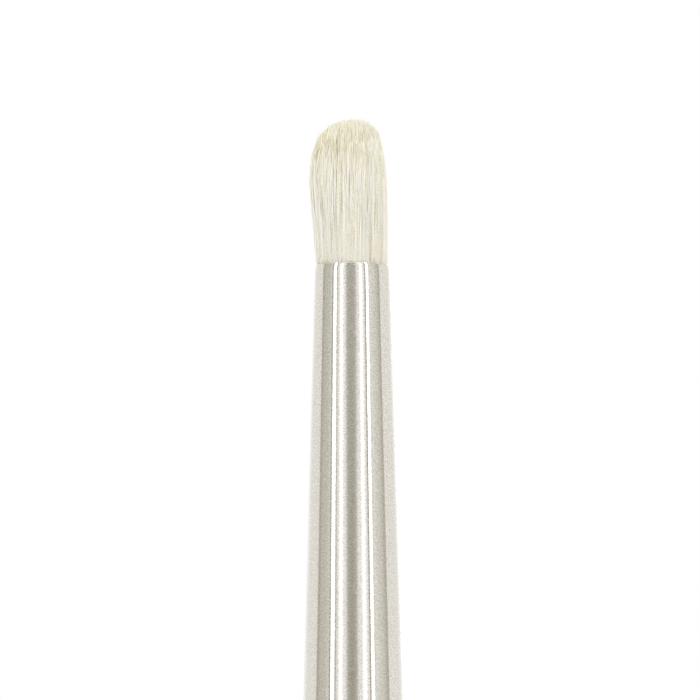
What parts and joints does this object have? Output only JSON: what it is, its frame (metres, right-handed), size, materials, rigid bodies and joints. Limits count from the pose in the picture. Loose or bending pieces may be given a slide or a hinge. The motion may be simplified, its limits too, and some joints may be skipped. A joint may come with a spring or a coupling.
{
  "type": "detail makeup brush",
  "caption": "Slim makeup brush: a small domed tuft of pale hair in a tapered polished metal ferrule on a long turned handle.",
  "frame": {"origin": "centre of the handle's flat butt end", "axes": "+Z runs along the brush from the butt end to the tip of the hair; +X is to the right and +Y away from the viewer in the pictured view"},
  "size_m": [0.009, 0.009, 0.1721],
  "materials": {
    "black_lacquer": "gloss black lacquer on birch",
    "adhesive": "set adhesive film",
    "nickel_plate": "polished nickel plate on brass",
    "set_resin": "set epoxy resin",
    "waxed_thread": "waxed cotton thread",
    "goat_hair": "natural cream goat hair"
  },
  "bodies": {
    "root": {"handle": "black_lacquer", "tenon_glue": "adhesive", "ferrule": "nickel_plate", "resin_plug": "set_resin", "binding_thread": "waxed_thread", "hair_tuft": "goat_hair"}
  },
  "joints": []
}
